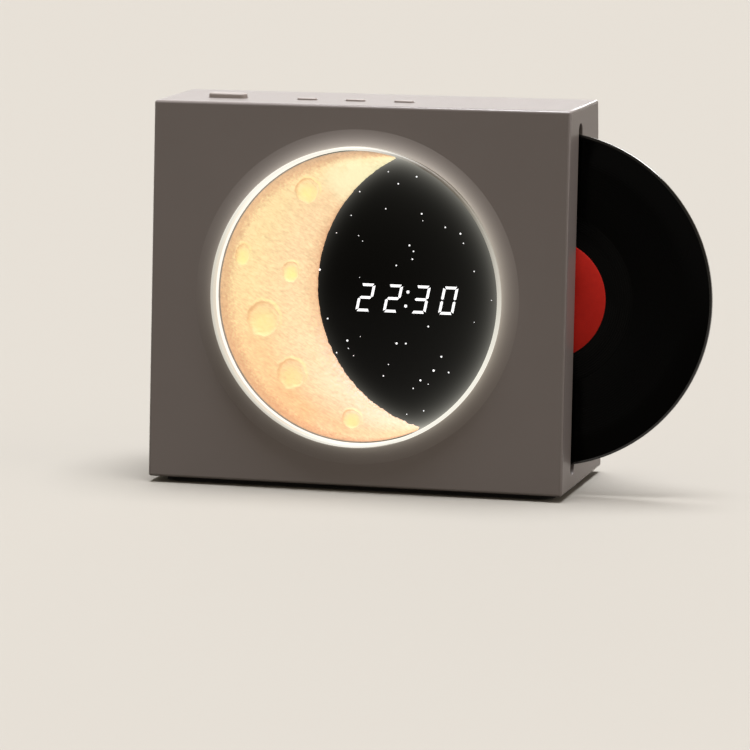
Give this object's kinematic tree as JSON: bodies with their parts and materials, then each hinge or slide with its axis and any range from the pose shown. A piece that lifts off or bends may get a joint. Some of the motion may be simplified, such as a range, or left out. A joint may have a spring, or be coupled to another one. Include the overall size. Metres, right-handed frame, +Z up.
{
  "type": "speaker clock",
  "caption": "Wedge-shaped table speaker clock with a lit crescent moon and starry read-out in a round well, top buttons and a turning record standing half out of a side slot.",
  "frame": {"origin": "middle of the underside of the base pad, where the clock stands on a table", "axes": "+Z up, the leaning front face with the moon looks towards -Y, +X to the side where the record stands out"},
  "size_m": [0.2242, 0.0721, 0.1542],
  "materials": {
    "case": "fine satin moulded taupe",
    "button": "satin moulded taupe",
    "rubber": "matt black",
    "steel": "bright",
    "brass": "machined",
    "opal": "opal, lit white",
    "moon": "rough opal, lit warm",
    "sky": "gloss black lens",
    "black_plastic": "matt",
    "board": "solder mask",
    "vinyl": "gloss with fine grooves",
    "label": "matt red",
    "basket": "black",
    "magnet": "ground",
    "cone": "black felted",
    "plunger": "plain",
    "cell": "shrink sleeve",
    "lead": "insulated",
    "ribbon": "flat flexible"
  },
  "bodies": {
    "case": {"front_shell": "case", "rear_cover": "case", "base_pad": "rubber", "rear_screw_1": "steel", "rear_screw_2": "steel", "rear_screw_3": "steel", "rear_screw_4": "steel", "halo_ring": "opal", "sky_lens": "sky", "moon_lens": "moon", "light_baffle": "black_plastic", "light_board": "board", "display_carrier": "black_plastic", "carrier_screw_1": "steel", "carrier_screw_2": "steel", "carrier_screw_3": "steel", "gearbox": "brass", "motor_can": "steel", "motor_bracket": "black_plastic", "bracket_screw_1": "steel", "bracket_screw_2": "steel", "speaker_gasket": "rubber", "speaker_basket": "basket", "speaker_magnet": "magnet", "speaker_surround": "rubber", "speaker_screw_1": "steel", "speaker_screw_2": "steel", "speaker_screw_3": "steel", "speaker_screw_4": "steel", "main_board": "board", "supply_inlet": "steel", "switch_body": "black_plastic", "battery_cell": "cell", "button_board": "board", "tact_switch_1": "black_plastic", "tact_switch_2": "black_plastic", "tact_switch_3": "black_plastic", "tact_switch_4": "black_plastic", "battery_lead": "lead", "speaker_lead": "lead", "motor_lead": "lead", "display_ribbon": "ribbon", "button_ribbon": "ribbon"},
    "disc": {"record": "vinyl", "label_front": "label", "label_rear": "label", "record_hub": "black_plastic", "hub_cap": "black_plastic", "motor_shaft": "steel"},
    "bar_key": {"bar_button": "button", "tact_plunger_1": "plunger"},
    "key_1": {"small_button_1": "button", "tact_plunger_2": "plunger"},
    "key_2": {"small_button_2": "button", "tact_plunger_3": "plunger"},
    "key_3": {"small_button_3": "button", "tact_plunger_4": "plunger"},
    "power_knob": {"switch_knob": "black_plastic"},
    "diaphragm": {"speaker_cone": "cone"}
  },
  "joints": [
    {"name": "record_spin", "type": "hinge", "parent": "case", "child": "disc", "pos_m": [0.0732, -0.01103, 0.07683], "axis": [0, 0.9968, -0.0797], "continuous": true},
    {"name": "bar_press", "type": "slide", "parent": "case", "child": "bar_key", "axis": [0, 0, -1], "range_m": [0, 0.0006], "stiffness_N_per_m": 800, "springref_m": -0.0005},
    {"name": "key_1_press", "type": "slide", "parent": "case", "child": "key_1", "axis": [0, 0, -1], "range_m": [0, 0.0006], "stiffness_N_per_m": 800, "springref_m": -0.0005},
    {"name": "key_2_press", "type": "slide", "parent": "case", "child": "key_2", "axis": [0, 0, -1], "range_m": [0, 0.0006], "stiffness_N_per_m": 800, "springref_m": -0.0005},
    {"name": "key_3_press", "type": "slide", "parent": "case", "child": "key_3", "axis": [0, 0, -1], "range_m": [0, 0.0006], "stiffness_N_per_m": 800, "springref_m": -0.0005},
    {"name": "power_slide", "type": "slide", "parent": "case", "child": "power_knob", "axis": [1, 0, 0], "range_m": [0, 0.002]},
    {"name": "cone_travel", "type": "slide", "parent": "case", "child": "diaphragm", "axis": [0, 0.9978, 0.0665], "range_m": [-0.001, 0.001], "stiffness_N_per_m": 1000}
  ]
}
